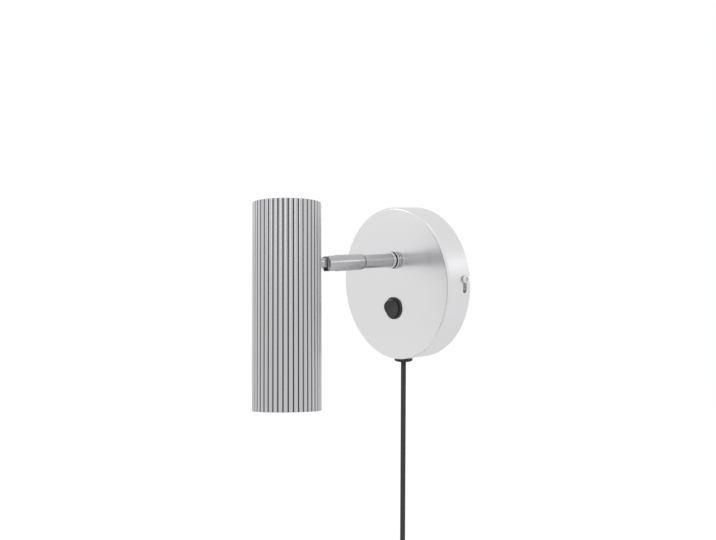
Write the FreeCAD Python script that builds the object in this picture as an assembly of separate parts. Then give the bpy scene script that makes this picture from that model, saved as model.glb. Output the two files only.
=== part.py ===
"""Tube wall light: a fluted aluminium tube shade on a jointed arm, a round wall plate with a
rocker switch, and a textile cord with its plug.

Frame: X to the right, Y into the wall, Z up. The wall is the plane Y = 0 and the room lies
towards -Y. The origin is the centre of the wall plate's back, on the wall. Millimetres.
"""
import FreeCAD
import Part
import math
import os

V = FreeCAD.Vector
os.makedirs("parts", exist_ok=True)

# ---- wall plate ----
plate_diameter = 145.0
plate_depth = 28.0
plate_wall = 1.2
plate_corner_radius = 2.0

# ---- arm, switch and cord places on the plate ----
arm_height = 22.5            # arm axis above the plate's centre
switch_drop = 23.5           # switch axis below the plate's centre
cord_depth = 14.9            # cord axis in front of the wall

# ---- wall bracket and its side screws ----
strap_height = 30.0
strap_thickness = 1.5
tab_depth = 13.0
rim_clearance = 1.6          # between the strap's tabs and the plate's rim
wall_slot_spacing = 60.0
wall_slot_length = 14.0
wall_slot_width = 5.2
side_screw_height = 7.6      # screw axis above the plate's centre line, on the right
side_screw_depth = 7.0       # screw axis in front of the wall
side_screw_diameter = 4.0
side_screw_head_diameter = 7.2
side_screw_head_height = 2.3
rim_slot_width = 4.6
rim_slot_tail = 10.5         # how far the locking slot runs down past the screw
thread_clearance = 0.05

# ---- arm ----
rod_diameter = 13.0
rod_length = 62.0
rod_bore = 6.4
nipple_diameter = 10.0
nipple_length = 15.0
collar_base_diameter = 16.8
collar_base_length = 2.4
collar_neck_diameter = 14.4
collar_neck_length = 1.3
collar_front_diameter = 15.8
collar_front_length = 3.1
collar_edge_radius = 0.5
hole_clearance = 0.2
backing_diameter = 34.0
backing_thickness = 1.5
lock_washer_diameter = 17.0
lock_washer_thickness = 1.0
lock_washer_teeth = 12
nut_across_flats = 17.0
nut_thickness = 4.0

# ---- swivel barrel on the arm's end ----
barrel_diameter = 15.0
barrel_length = 42.3
barrel_overlap = 20.3        # length of the barrel that slides over the rod
barrel_edge_radius = 1.2
barrel_chamfer = 0.7
web_thickness = 3.0          # inner web that carries the barrel on the rod's spigot
web_gap = 0.3
spigot_diameter = 9.0
spigot_length = 6.5
running_clearance = 0.04
circlip_thickness = 1.0
circlip_diameter = 11.6
circlip_groove_depth = 0.6
stop_pin_diameter = 1.4
stop_pin_height = 1.9
stop_half_range = 168.0      # degrees each way that the stop pin's groove allows
groove_clearance = 0.3
socket_diameter = 12.6

# ---- knuckle ----
pivot_inset = 8.0            # pivot pin from the barrel's open end
tongue_thickness = 5.4
tongue_height = 8.0
tongue_length = 13.0
friction_washer_thickness = 0.5
friction_washer_diameter = 7.4
slot_side_clearance = 0.05
slot_end_clearance = 0.7
pivot_pin_diameter = 3.0
pivot_pin_gap = 3.6          # the two half pins leave this room for the lamp's leads
knuckle_bore = 2.8
knuckle_neck_diameter = 9.0
knuckle_flange_diameter = 14.0
knuckle_flange_thickness = 2.6

# ---- rest pose of the head, as photographed ----
head_turn = -7.2             # turn about the arm's axis, degrees
head_tilt = 5.6              # tilt of the tube's top towards the wall, degrees

# ---- shade ----
shade_diameter = 60.0
shade_length = 180.0
shade_above_pivot = 50.0
head_reach = 51.0            # knuckle pivot to the tube's axis
flute_count = 42
flute_depth = 1.1
shade_bore = 54.0
stud_length = 12.0
stud_clearance = 0.2
cap_thickness = 2.0
cap_recess = 3.0
cap_skirt = 8.0
cap_wall = 1.2
cap_clearance = 0.2
cap_vents = 6
cap_vent_length = 10.0
cap_vent_width = 2.2

# ---- lampholder and lamp ----
holder_bracket_width = 16.0
holder_bracket_thickness = 1.5
holder_bracket_top = 12.0
holder_drop = 35.0           # knuckle pivot down to the lampholder's top
holder_diameter = 28.0
holder_height = 18.0
holder_screw_diameter = 3.0
holder_screw_spacing = 18.0
holder_screw_length = 8.0
lamp_pin_spacing = 10.0
lamp_pin_head_diameter = 4.8
lamp_pin_shank_diameter = 2.6
lamp_pin_length = 6.8
lamp_pin_head_length = 3.8
lamp_socket_depth = 9.0
socket_clearance = 0.4
lamp_length = 47.0
lamp_neck_diameter = 27.0
lamp_neck_length = 9.0
lamp_front_diameter = 50.0
lamp_rim_height = 7.0
lamp_seat_gap = 0.1
lens_diameter = 45.0
lens_thickness = 1.2
lens_recess = 1.0
glare_ring_wall = 1.6
glare_ring_recess = 1.5
glare_ring_gap = 0.4
glare_step_count = 4
glare_step_depth = 0.5

# ---- rocker switch ----
bezel_diameter = 21.3
bezel_thickness = 1.8
bezel_edge_radius = 0.7
switch_barrel_diameter = 19.7
switch_depth = 16.0
rocker_diameter = 18.2
rocker_clearance = 0.25
rocker_throw = 24.0          # degrees between the two positions
rocker_rise = 1.2            # the rocker's middle stands this far above the bezel
rocker_pivot_depth = 0.6     # pivot behind the bezel's front
rocker_underside = 3.2
rocker_well_depth = 9.0
axle_diameter = 2.4
axle_length = 0.4
switch_turn = -35.0           # the switch sits turned in its hole, degrees
terminal_width = 4.8
terminal_thickness = 0.8
terminal_length = 5.0
terminal_spacing = 10.0

# ---- cord gland ----
cord_diameter = 5.0
gland_flange_diameter = 17.6
gland_flange_height = 3.4
gland_flange_radius = 1.6
gland_body_diameter = 11.0
gland_body_length = 14.0
gland_bore = 5.2
gland_nut_flats = 16.0
gland_nut_thickness = 4.0

# ---- terminal block and leads ----
block_width = 24.0
block_height = 18.0
block_depth = 14.0
pole_spacing = 12.0
insert_diameter = 5.0
insert_bore = 3.4
insert_length = 16.0
clamp_screw_diameter = 3.2
clamp_screw_length = 4.5
clamp_screw_spacing = 9.0
block_screw_diameter = 3.0
block_screw_head_diameter = 5.4
block_screw_head_height = 2.0
lead_diameter = 2.0
lead_pair_offset = 1.2       # each core's axis from the sheath's axis
sheath_side = 16.0           # the sheath rises this far left of the switch's axis
sheath_end_drop = 21.0       # the sheath ends this far below the plate's centre
sheath_rise = 10.0           # length of its last, upright run
sheath_entry_run = 8.0       # straight run above the gland
near_lead_drop = 2.6         # the near core crosses this far below the block
far_lead_drop = 5.4          # the far core crosses this far below the block
lead_grip = 5.0              # length of each lead inside the block
switch_lead_run = 3.8        # straight run behind each blade
switch_lead_side = 5.5       # the switch leads rise this far right of the block
switch_lead_gap = 1.4        # half the distance between them
switch_lead_turn_drop = 20.5 # they turn up this far below the plate's centre
switch_lead_bend_drop = 10.0
lamp_lead_straight = 4.0     # straight run above the block
lamp_lead_bow = 4.0          # the lamp leads bow this far towards the wall
lamp_lead_spread = 0.9       # their spread at the bow, as a share of the poles' spacing
lamp_lead_entry = 3.0        # straight run before the nipple

# ---- cord: hanging stretch, put-away coil, tie and plug ----
cord_hang_end = 258.0        # the hanging stretch ends this far below the plate's centre
coil_drop = 70.0             # from there down to the coil's centre
coil_inner_radius = 22.5
turn_pitch = 6.5
layer_pitch = 6.2
layer_half_turns = (4, 4, 4, 5)
coil_entry_angle = 40.0      # degrees past the coil's top where the cord joins it
tail_length = 20.0
tie_width = 9.0
tie_wall = 1.2
tie_clearance = 0.4
tie_end_length = 12.0
tie_angle = 24.0             # degrees left of the coil's top
boot_length = 24.0
boot_small_diameter = 7.0
boot_large_diameter = 10.4
boot_groove_depth = 0.8
boot_groove_width = 1.2
boot_groove_count = 5
plug_width = 35.3
plug_thickness = 13.7
plug_length = 35.0
plug_shoulder_width = 15.0
plug_edge_radius = 2.5
plug_pin_diameter = 4.0
plug_pin_length = 19.0
plug_pin_spacing = 18.6

# ---- derived places ----
plate_radius = plate_diameter / 2
plate_inner_radius = plate_radius - plate_wall
plate_face = -plate_depth
plate_inside = plate_face + plate_wall
rod_end = plate_face - rod_length
barrel_start = rod_end + barrel_overlap
barrel_end = barrel_start - barrel_length
pivot = V(0, barrel_end + pivot_inset, arm_height)
slot_width = tongue_thickness + 2 * (friction_washer_thickness + slot_side_clearance)
shade_radius = shade_diameter / 2
shade_bore_radius = shade_bore / 2
shade_top = shade_above_pivot
shade_bottom = shade_above_pivot - shade_length
holder_top = -holder_drop
lamp_base = holder_top - holder_height - lamp_seat_gap
lamp_front = lamp_base - lamp_length
bezel_front = plate_face - bezel_thickness
switch_back = plate_face + switch_depth
gland_bottom = -(plate_radius + gland_flange_height)
coil_centre = V(0, -cord_depth, -(cord_hang_end + coil_drop))


def along_y(radius, y_from, y_to, x=0.0, z=0.0):
    """A cylinder along Y between two depths."""
    low = min(y_from, y_to)
    return Part.makeCylinder(radius, abs(y_to - y_from), V(x, low, z), V(0, 1, 0))


def along_z(radius, z_from, z_to, x=0.0, y=0.0):
    """A cylinder along Z between two heights."""
    low = min(z_from, z_to)
    return Part.makeCylinder(radius, abs(z_to - z_from), V(x, y, low), V(0, 0, 1))


def box(x0, x1, y0, y1, z0, z1):
    """A box between two corners."""
    return Part.makeBox(x1 - x0, y1 - y0, z1 - z0, V(x0, y0, z0))


def round_edges(shape, radius, chosen):
    """Fillets the edges that chosen(edge) picks."""
    edges = [e for e in shape.Edges if chosen(e)]
    return shape.makeFillet(radius, edges)


def circle_at(axis, place, radius):
    """A test for full circular edges: their centre's coordinate on an axis, and their radius."""
    def test(edge):
        if not isinstance(edge.Curve, Part.Circle):
            return False
        centre = getattr(edge.Curve.Center, axis)
        return abs(centre - place) < 1e-3 and abs(edge.Curve.Radius - radius) < 1e-3
    return test


def revolved(profile, centre, axis):
    """A solid of revolution from (radius, place along axis) points, about the Y or Z axis."""
    if axis == "y":
        points = [V(r, a, 0) for r, a in profile]
        direction = V(0, 1, 0)
    else:
        points = [V(r, 0, a) for r, a in profile]
        direction = V(0, 0, 1)
    wire = Part.makePolygon(points + [points[0]])
    solid = Part.Face(wire).revolve(V(0, 0, 0), direction, 360)
    solid.translate(centre)
    return solid


def hexagon_prism(across_flats, thickness):
    """A hexagonal prism along +Z from the origin."""
    corner = across_flats / math.sqrt(3)
    points = []
    for k in range(7):
        angle = math.radians(60 * k)
        points.append(V(corner * math.cos(angle), corner * math.sin(angle), 0))
    return Part.Face(Part.makePolygon(points)).extrude(V(0, 0, thickness))


def hex_nut(across_flats, thickness, bore_radius):
    """A hexagonal nut along +Z with its corners turned down."""
    nut = hexagon_prism(across_flats, thickness)
    corner = across_flats / math.sqrt(3)
    chamfer = corner - across_flats / 2
    low = Part.makeCone(across_flats / 2, across_flats / 2 + thickness, thickness)
    high = Part.makeCone(across_flats / 2 + thickness, across_flats / 2, thickness)
    low.translate(V(0, 0, -chamfer / 4))
    high.translate(V(0, 0, chamfer / 4))
    nut = nut.common(low).common(high)
    return nut.cut(Part.makeCylinder(bore_radius, thickness * 3, V(0, 0, -thickness)))


def pan_screw(head_diameter, head_height, shank_diameter, shank_length):
    """A pan-head screw with a cross recess: head on -Z side of the origin plane, shank on +Z."""
    head = Part.makeCylinder(head_diameter / 2, head_height, V(0, 0, -head_height))
    edge_radius = head_height * 0.45
    head = round_edges(head, edge_radius, circle_at("z", -head_height, head_diameter / 2))
    recess = head_height * 0.55
    arm = head_diameter * 0.3
    slot = head_diameter * 0.07
    cross = box(-arm, arm, -slot, slot, -head_height, -head_height + recess)
    cross = cross.fuse(box(-slot, slot, -arm, arm, -head_height, -head_height + recess))
    shank = Part.makeCylinder(shank_diameter / 2, shank_length)
    return head.cut(cross).fuse(shank).removeSplitter()


def turned(shape, angle, centre, axis):
    """A copy of a shape turned about an axis through a point."""
    made = shape.copy()
    made.rotate(centre, axis, angle)
    return made


def on_arm(shape):
    """Turns a piece about the arm's axis to the head's rest position."""
    return turned(shape, head_turn, V(0, 0, arm_height), V(0, 1, 0))


def on_head(shape):
    """Places a piece modelled with the knuckle pivot at the origin and the tube upright."""
    made = turned(shape, -head_tilt, V(0, 0, 0), V(1, 0, 0))
    made.rotate(V(0, 0, 0), V(0, 1, 0), head_turn)
    made.translate(pivot)
    return made


# ---- bent tubes ----

def three_point_arc(start, corner, end):
    """The arc that touches start-corner and corner-end, which are equally long."""
    middle = (start + end) * 0.5
    height = (corner - middle).Length
    half_chord = (end - start).Length / 2
    radius = (corner - start).Length * half_chord / height
    rise = radius - math.sqrt(max(radius ** 2 - half_chord ** 2, 0.0))
    return Part.Arc(start, middle + (corner - middle) * (rise / height), end), radius


def route_edges(points, share=0.45):
    """Straight runs joined by tangent arcs, each as large as its two runs allow."""
    edges = []
    radii = []
    place = points[0]
    for k in range(1, len(points) - 1):
        before = points[k - 1] - points[k]
        after = points[k + 1] - points[k]
        cut = share * min(before.Length, after.Length)
        start = points[k] + before * (cut / before.Length)
        end = points[k] + after * (cut / after.Length)
        edges.append(Part.LineSegment(place, start).toShape())
        arc, radius = three_point_arc(start, points[k], end)
        edges.append(arc.toShape())
        radii.append(radius)
        place = end
    edges.append(Part.LineSegment(place, points[-1]).toShape())
    return edges, radii


def tube_on(edges, radius, name=None):
    """A round tube along a wire, with its volume checked against section times length."""
    wire = Part.Wire(edges)
    first = edges[0]
    start = first.valueAt(first.FirstParameter)
    direction = first.tangentAt(first.FirstParameter)
    section = Part.Wire(Part.makeCircle(radius, start, direction))
    tube = wire.makePipeShell([section], True, False)
    expected = math.pi * radius ** 2 * wire.Length
    if name:
        print(name, "length %.1f" % wire.Length, "volume ratio %.4f" % (tube.Volume / expected))
    return tube


def wire_along(points, diameter):
    """A lead or cord along a route of points."""
    edges, _ = route_edges(points)
    return tube_on(edges, diameter / 2)


def bend_between(start, start_way, end, end_way):
    """Two tangent arcs that join two points with given directions."""
    span = end - start
    ways = start_way + end_way
    turn = 2 * (1 - start_way.dot(end_way))
    reach = (-span.dot(ways) + math.sqrt(span.dot(ways) ** 2 + turn * span.dot(span))) / turn
    first_corner = start + start_way * reach
    last_corner = end - end_way * reach
    joint = (first_corner + last_corner) * 0.5
    first, first_radius = three_point_arc(start, first_corner, joint)
    last, last_radius = three_point_arc(joint, last_corner, end)
    return [first.toShape(), last.toShape()], [first_radius, last_radius]


# ---- wall side ----

def rim_slot():
    """The right locking slot: open at the rear edge, then down along the rim."""
    half = rim_slot_width / 2
    z = side_screw_height
    tail = z - rim_slot_tail
    deep = plate_radius + 2
    entry = box(plate_inner_radius - 4, deep, -side_screw_depth, 1, z - half, z + half)
    run = box(plate_inner_radius - 4, deep, -side_screw_depth - half,
              -side_screw_depth + half, tail, z)
    shape = entry.fuse(run)
    for place in (z, tail):
        end = Part.makeCylinder(half, deep, V(0, -side_screw_depth, place), V(1, 0, 0))
        shape = shape.fuse(end.common(box(plate_inner_radius - 4, deep, -plate_depth, 0,
                                          -plate_radius, plate_radius)))
    return shape


def wall_plate():
    """Round pressed cover: face, rim, and the openings for arm, switch, gland and side screws."""
    outer = along_y(plate_radius, 0, plate_face)
    outer = round_edges(outer, plate_corner_radius, circle_at("y", plate_face, plate_radius))
    inner = along_y(plate_inner_radius, 1, plate_inside)
    inner_corner = plate_corner_radius - plate_wall
    inner = round_edges(inner, inner_corner, circle_at("y", plate_inside, plate_inner_radius))
    shell = outer.cut(inner)
    shell = shell.cut(along_y(nipple_diameter / 2 + hole_clearance, 1, plate_face - 1,
                              z=arm_height))
    shell = shell.cut(along_y(switch_barrel_diameter / 2 + hole_clearance / 2, 1,
                              plate_face - 1, z=-switch_drop))
    shell = shell.cut(along_z(gland_body_diameter / 2 + hole_clearance / 2,
                              -plate_radius - 2, -plate_radius / 2, y=-cord_depth))
    slot = rim_slot()
    shell = shell.cut(slot)
    return shell.cut(turned(slot, 180, V(0, 0, 0), V(0, 1, 0)))


tab_low = side_screw_height - rim_slot_tail
tab_high = strap_height / 2
tab_face = math.sqrt(plate_inner_radius ** 2 - tab_high ** 2) - rim_clearance + 1.2


def wall_bracket():
    """Steel strap on the wall with two slots, and an ear at each end for the side screws."""
    strap = box(-tab_face, tab_face, -strap_thickness, 0, -strap_height / 2, strap_height / 2)
    ear = box(tab_face - strap_thickness, tab_face, -tab_depth, 0, tab_low, tab_high)
    hole = Part.makeCylinder(side_screw_diameter / 2, plate_radius,
                             V(0, -side_screw_depth, side_screw_height), V(1, 0, 0))
    hole = hole.common(box(tab_face - 5, tab_face + 5, -tab_depth, 0, tab_low, tab_high))
    right = ear.cut(hole)
    left = turned(right, 180, V(0, 0, 0), V(0, 1, 0))
    bracket = strap.fuse(right).fuse(left).removeSplitter()
    half = wall_slot_width / 2
    straight = (wall_slot_length - wall_slot_width) / 2
    for side in (-1, 1):
        x = side * wall_slot_spacing / 2
        slot = box(x - straight, x + straight, -strap_thickness - 1, 1, -half, half)
        slot = slot.fuse(along_y(half, -strap_thickness - 1, 1, x=x - straight))
        slot = slot.fuse(along_y(half, -strap_thickness - 1, 1, x=x + straight))
        bracket = bracket.cut(slot)
    return bracket.cut(along_y(block_screw_diameter / 2 + thread_clearance,
                               -strap_thickness - 1, -strap_thickness / 3))


def side_screws():
    """The two pan-head screws that lock the cover to the bracket's ears."""
    seat = plate_radius + thread_clearance
    length = seat - (tab_face - strap_thickness) + 1
    screw = pan_screw(side_screw_head_diameter, side_screw_head_height,
                      side_screw_diameter - 2 * thread_clearance, length)
    screw.rotate(V(0, 0, 0), V(0, 1, 0), -90)
    screw.translate(V(seat, -side_screw_depth, side_screw_height))
    left = turned(screw, 180, V(0, 0, 0), V(0, 1, 0))
    return Part.makeCompound([screw, left])


# ---- arm ----

def arm_collar():
    """Polished two-step ring where the arm leaves the plate."""
    base_end = plate_face - collar_base_length
    neck_end = base_end - collar_neck_length
    front_end = neck_end - collar_front_length
    base = along_y(collar_base_diameter / 2, plate_face, base_end)
    base = round_edges(base, collar_edge_radius, circle_at("y", base_end, collar_base_diameter / 2))
    neck = along_y(collar_neck_diameter / 2, base_end, neck_end)
    front = along_y(collar_front_diameter / 2, neck_end, front_end)
    for place in (neck_end, front_end):
        front = round_edges(front, collar_edge_radius,
                            circle_at("y", place, collar_front_diameter / 2))
    ring = base.fuse(neck).fuse(front)
    ring = ring.cut(along_y(rod_diameter / 2 + running_clearance, plate_face + 1, front_end - 1))
    ring.translate(V(0, 0, arm_height))
    return ring


def arm_rod():
    """Hollow arm: threaded nipple through the plate, rod, and the spigot that the barrel turns on."""
    nipple = along_y(nipple_diameter / 2, plate_face + nipple_length, plate_face)
    rod = along_y(rod_diameter / 2, plate_face, rod_end)
    spigot = along_y(spigot_diameter / 2, rod_end, rod_end - spigot_length)
    shape = nipple.fuse(rod).fuse(spigot)
    groove_start = rod_end - web_gap - web_thickness - running_clearance
    groove_end = groove_start - circlip_thickness - running_clearance
    groove = along_y(spigot_diameter, groove_start, groove_end)
    groove = groove.cut(along_y(spigot_diameter / 2 - circlip_groove_depth, groove_start,
                                groove_end))
    shape = shape.cut(groove)
    shape = shape.cut(along_y(rod_bore / 2, plate_face + nipple_length + 1,
                              rod_end - spigot_length - 1))
    shape.translate(V(0, 0, arm_height))
    return shape


def barrel_circlip():
    """Open spring ring in the spigot's groove that keeps the barrel on."""
    start = rod_end - web_gap - web_thickness - running_clearance * 1.5
    ring = along_y(circlip_diameter / 2, start, start - circlip_thickness)
    ring = ring.cut(along_y(spigot_diameter / 2 - circlip_groove_depth + running_clearance,
                            start + 1, start - circlip_thickness - 1))
    ring = ring.cut(box(-1.5, 1.5, start - 3, start + 3, 0, circlip_diameter))
    ring.translate(V(0, 0, arm_height))
    return ring


def turn_stop_pin():
    """Small pin on the rod's end that runs in the barrel's groove and limits its turn."""
    radius = (spigot_diameter / 2 + rod_diameter / 2) / 2
    return along_y(stop_pin_diameter / 2, rod_end, rod_end - stop_pin_height, z=arm_height + radius)


def arm_backing_plate():
    """Stiffening disc behind the plate's face."""
    disc = along_y(backing_diameter / 2, plate_inside, plate_inside + backing_thickness)
    disc = disc.cut(along_y(nipple_diameter / 2 + hole_clearance, plate_face, 0))
    disc.translate(V(0, 0, arm_height))
    return disc


def arm_lock_washer():
    """Toothed washer under the arm's nut."""
    start = plate_inside + backing_thickness
    ring = along_y(lock_washer_diameter / 2, start, start + lock_washer_thickness)
    ring = ring.cut(along_y(nipple_diameter / 2 + hole_clearance, plate_face, 0))
    pitch = 360.0 / lock_washer_teeth
    notch = box(-0.7, 0.7, start - 1, start + lock_washer_thickness + 1,
                lock_washer_diameter / 2 - 1.6, lock_washer_diameter / 2 + 1)
    for k in range(lock_washer_teeth):
        ring = ring.cut(turned(notch, k * pitch, V(0, 0, 0), V(0, 1, 0)))
    ring.translate(V(0, 0, arm_height))
    return ring


def arm_nut():
    """Hexagonal nut on the arm's nipple."""
    nut = hex_nut(nut_across_flats, nut_thickness, nipple_diameter / 2 + thread_clearance)
    nut.rotate(V(0, 0, 0), V(1, 0, 0), -90)
    start = plate_inside + backing_thickness + lock_washer_thickness
    nut.translate(V(0, start, arm_height))
    return nut


# ---- swivel barrel ----

def joint_barrel():
    """Barrel that turns on the rod's end, with a slotted open end for the knuckle."""
    body = along_y(barrel_diameter / 2, barrel_start, barrel_end)
    body = round_edges(body, barrel_edge_radius, circle_at("y", barrel_end, barrel_diameter / 2))
    rear = [e for e in body.Edges if circle_at("y", barrel_start, barrel_diameter / 2)(e)]
    body = body.makeChamfer(barrel_chamfer, rear)
    web_start = rod_end - web_gap
    body = body.cut(along_y(rod_diameter / 2 + running_clearance, barrel_start + 1, web_start))
    body = body.cut(along_y(spigot_diameter / 2 + running_clearance, barrel_start,
                            web_start - web_thickness - 1))
    body = body.cut(along_y(socket_diameter / 2, web_start - web_thickness, barrel_end - 1))
    body = body.cut(stop_groove(web_start))
    slot_end = barrel_end + pivot_inset + tongue_height / 2 + slot_end_clearance
    half = slot_width / 2
    body = body.cut(box(-half, half, barrel_end - 1, slot_end, -barrel_diameter, barrel_diameter))
    cheeks = box(half, barrel_diameter, barrel_end, slot_end, -barrel_diameter, barrel_diameter)
    cheeks = cheeks.fuse(turned(cheeks, 180, V(0, 0, 0), V(0, 1, 0)))
    filled = along_y(barrel_diameter / 2, barrel_end, slot_end)
    filled = round_edges(filled, barrel_edge_radius, circle_at("y", barrel_end, barrel_diameter / 2))
    body = body.fuse(filled.common(cheeks)).removeSplitter()
    hole = Part.makeCylinder(pivot_pin_diameter / 2 + running_clearance, barrel_diameter * 2,
                             V(-barrel_diameter, barrel_end + pivot_inset, 0), V(1, 0, 0))
    body = body.cut(hole)
    body.translate(V(0, 0, arm_height))
    return on_arm(body)


def stop_groove(web_start):
    """The arc-shaped groove in the barrel's web for the stop pin."""
    middle = (spigot_diameter / 2 + rod_diameter / 2) / 2
    half = stop_pin_diameter / 2 + groove_clearance
    low = web_start - stop_pin_height - groove_clearance + web_gap
    ring = along_y(middle + half, web_start + 0.1, low)
    ring = ring.cut(along_y(middle - half, web_start + 0.1, low))
    pin_angle = math.degrees((half) / middle)
    stop_wedge = 360 - 2 * stop_half_range - 2 * pin_angle
    wedge_half = math.radians(max(stop_wedge, 4) / 2)
    reach = spigot_diameter * 2
    points = [V(0, low - 1, 0), V(-reach * math.sin(wedge_half), low - 1, -reach * math.cos(wedge_half)),
              V(reach * math.sin(wedge_half), low - 1, -reach * math.cos(wedge_half)),
              V(0, low - 1, 0)]
    wedge = Part.Face(Part.makePolygon(points)).extrude(V(0, abs(low - web_start) + 2, 0))
    return turned(ring.cut(wedge), -head_turn, V(0, 0, 0), V(0, 1, 0))


def pivot_pins():
    """Two half pins, flush with the barrel, that the knuckle tilts on."""
    pins = []
    skin = along_y(barrel_diameter / 2 - thread_clearance, barrel_start, barrel_end)
    for side in (-1, 1):
        pin = Part.makeCylinder(pivot_pin_diameter / 2, barrel_diameter / 2,
                                V(side * pivot_pin_gap / 2, barrel_end + pivot_inset, 0),
                                V(side, 0, 0))
        pin = pin.common(skin)
        pin.translate(V(0, 0, arm_height))
        pins.append(on_arm(pin))
    return Part.makeCompound(pins)


def friction_washers():
    """Thin washers between the knuckle and the barrel's cheeks."""
    washers = []
    for side in (-1, 1):
        inner_face = side * (tongue_thickness / 2 + slot_side_clearance)
        washer = Part.makeCylinder(friction_washer_diameter / 2, friction_washer_thickness,
                                   V(inner_face, barrel_end + pivot_inset, 0), V(side, 0, 0))
        hole = Part.makeCylinder(pivot_pin_diameter / 2 + running_clearance, barrel_diameter * 2,
                                 V(-barrel_diameter, barrel_end + pivot_inset, 0), V(1, 0, 0))
        washer = washer.cut(hole)
        washer.translate(V(0, 0, arm_height))
        washers.append(on_arm(washer))
    return Part.makeCompound(washers)


# ---- head: modelled with the knuckle pivot at the origin, the tube upright ----

def knuckle():
    """Tongue, flange and hollow stud that carry the shade."""
    half = tongue_thickness / 2
    tongue = box(-half, half, -tongue_length, 0, -tongue_height / 2, tongue_height / 2)
    tongue = tongue.fuse(Part.makeCylinder(tongue_height / 2, tongue_thickness,
                                           V(-half, 0, 0), V(1, 0, 0)))
    shade_face = -head_reach + shade_radius
    neck = along_y(knuckle_neck_diameter / 2, -tongue_length + 0.5, shade_face)
    flange_start = shade_face + knuckle_flange_thickness
    flange = along_y(knuckle_flange_diameter / 2, flange_start, shade_face - 2)
    flange = round_edges(flange, 0.8, circle_at("y", flange_start, knuckle_flange_diameter / 2))
    seat = along_z(shade_radius + thread_clearance, -knuckle_flange_diameter,
                   knuckle_flange_diameter, y=-head_reach)
    body = tongue.fuse(neck).fuse(flange).cut(seat)
    stud = along_y(nipple_diameter / 2 - thread_clearance, flange_start,
                   shade_face - stud_length)
    body = body.fuse(stud).removeSplitter()
    body = body.cut(along_y(knuckle_bore / 2, tongue_height, shade_face - stud_length - 1))
    body = body.cut(Part.makeCylinder(pivot_pin_diameter / 2 + running_clearance,
                                      tongue_thickness * 2, V(-tongue_thickness, 0, 0),
                                      V(1, 0, 0)))
    return on_head(body)


def fluted_outline():
    """The shade's outer section: one convex arc for each rib between groove points."""
    groove_radius = shade_radius - flute_depth
    pitch = 2 * math.pi / flute_count
    edges = []
    for k in range(flute_count):
        marks = []
        for step, radius in ((0, groove_radius), (0.5, shade_radius), (1, groove_radius)):
            angle = (k + step) * pitch
            marks.append(V(radius * math.cos(angle), radius * math.sin(angle), shade_bottom))
        edges.append(Part.Arc(*marks).toShape())
    return Part.Wire(edges)


def shade_tube():
    """Fluted aluminium tube with the stud's hole."""
    tube = Part.Face(fluted_outline()).extrude(V(0, 0, shade_length))
    tube = tube.cut(along_z(shade_bore_radius, shade_bottom - 1, shade_top + 1))
    tube.translate(V(0, -head_reach, 0))
    tube = tube.cut(along_y(nipple_diameter / 2 + stud_clearance, 0, -head_reach))
    return on_head(tube)


def top_cap():
    """Recessed cap with radial vents that closes the tube's top."""
    radius = shade_bore_radius - cap_clearance
    top = shade_top - cap_recess
    cup = along_z(radius, top - cap_skirt, top)
    cup = cup.cut(along_z(radius - cap_wall, top - cap_skirt - 1, top - cap_thickness))
    for k in range(cap_vents):
        vent = box(radius * 0.4, radius * 0.4 + cap_vent_length, -cap_vent_width / 2,
                   cap_vent_width / 2, top - cap_thickness - 1, top + 1)
        cup = cup.cut(turned(vent, k * 360.0 / cap_vents, V(0, 0, 0), V(0, 0, 1)))
    cup.translate(V(0, -head_reach, 0))
    return on_head(cup)


bracket_face = -head_reach + math.sqrt(shade_bore_radius ** 2 - (holder_bracket_width / 2) ** 2)


def holder_bracket():
    """Bent strip inside the tube: the stud clamps its leg, the lampholder hangs on its shelf."""
    half = holder_bracket_width / 2
    front = bracket_face - thread_clearance
    shelf_end = -head_reach - holder_screw_spacing / 2 - 4
    leg = box(-half, half, front - holder_bracket_thickness, front, holder_top,
              holder_bracket_top)
    shelf = box(-half, half, shelf_end, front, holder_top, holder_top + holder_bracket_thickness)
    strip = leg.fuse(shelf).removeSplitter()
    strip = strip.cut(along_y(nipple_diameter / 2 + stud_clearance, 0, -head_reach + 5))
    for side in (-1, 1):
        y = -head_reach + side * holder_screw_spacing / 2
        strip = strip.cut(along_z(holder_screw_diameter / 2 + hole_clearance, holder_top - 1,
                                  holder_top + 3, y=y))
    return on_head(strip)


def stud_nut():
    """Nut inside the tube that clamps the shade and the bracket to the knuckle."""
    nut = hex_nut(nut_across_flats - 3, nut_thickness - 1, nipple_diameter / 2 + thread_clearance)
    nut.rotate(V(0, 0, 0), V(1, 0, 0), 90)
    nut.translate(V(0, bracket_face - thread_clearance - holder_bracket_thickness, 0))
    return on_head(nut)


def lampholder():
    """Ceramic holder block with the two lamp sockets below and screw holes above."""
    block = along_z(holder_diameter / 2, holder_top, holder_top - holder_height)
    block = round_edges(block, 1.0, circle_at("z", holder_top - holder_height, holder_diameter / 2))
    bottom = holder_top - holder_height
    for side in (-1, 1):
        block = block.cut(along_z((lamp_pin_head_diameter + socket_clearance) / 2, bottom - 1,
                                  bottom + lamp_socket_depth, x=side * lamp_pin_spacing / 2))
        block = block.cut(along_z(holder_screw_diameter / 2, holder_top + 1,
                                  holder_top - holder_screw_length,
                                  y=side * holder_screw_spacing / 2))
    block.translate(V(0, -head_reach, 0))
    return on_head(block)


def holder_screws():
    """Two screws that hang the lampholder under the bracket's shelf."""
    screws = []
    for side in (-1, 1):
        screw = pan_screw(5.4, 2.0, holder_screw_diameter - 2 * thread_clearance,
                          holder_screw_length + holder_bracket_thickness - 1)
        screw.rotate(V(0, 0, 0), V(1, 0, 0), 180)
        screw.translate(V(0, -head_reach + side * holder_screw_spacing / 2,
                          holder_top + holder_bracket_thickness))
        screws.append(on_head(screw))
    return Part.makeCompound(screws)


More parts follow.
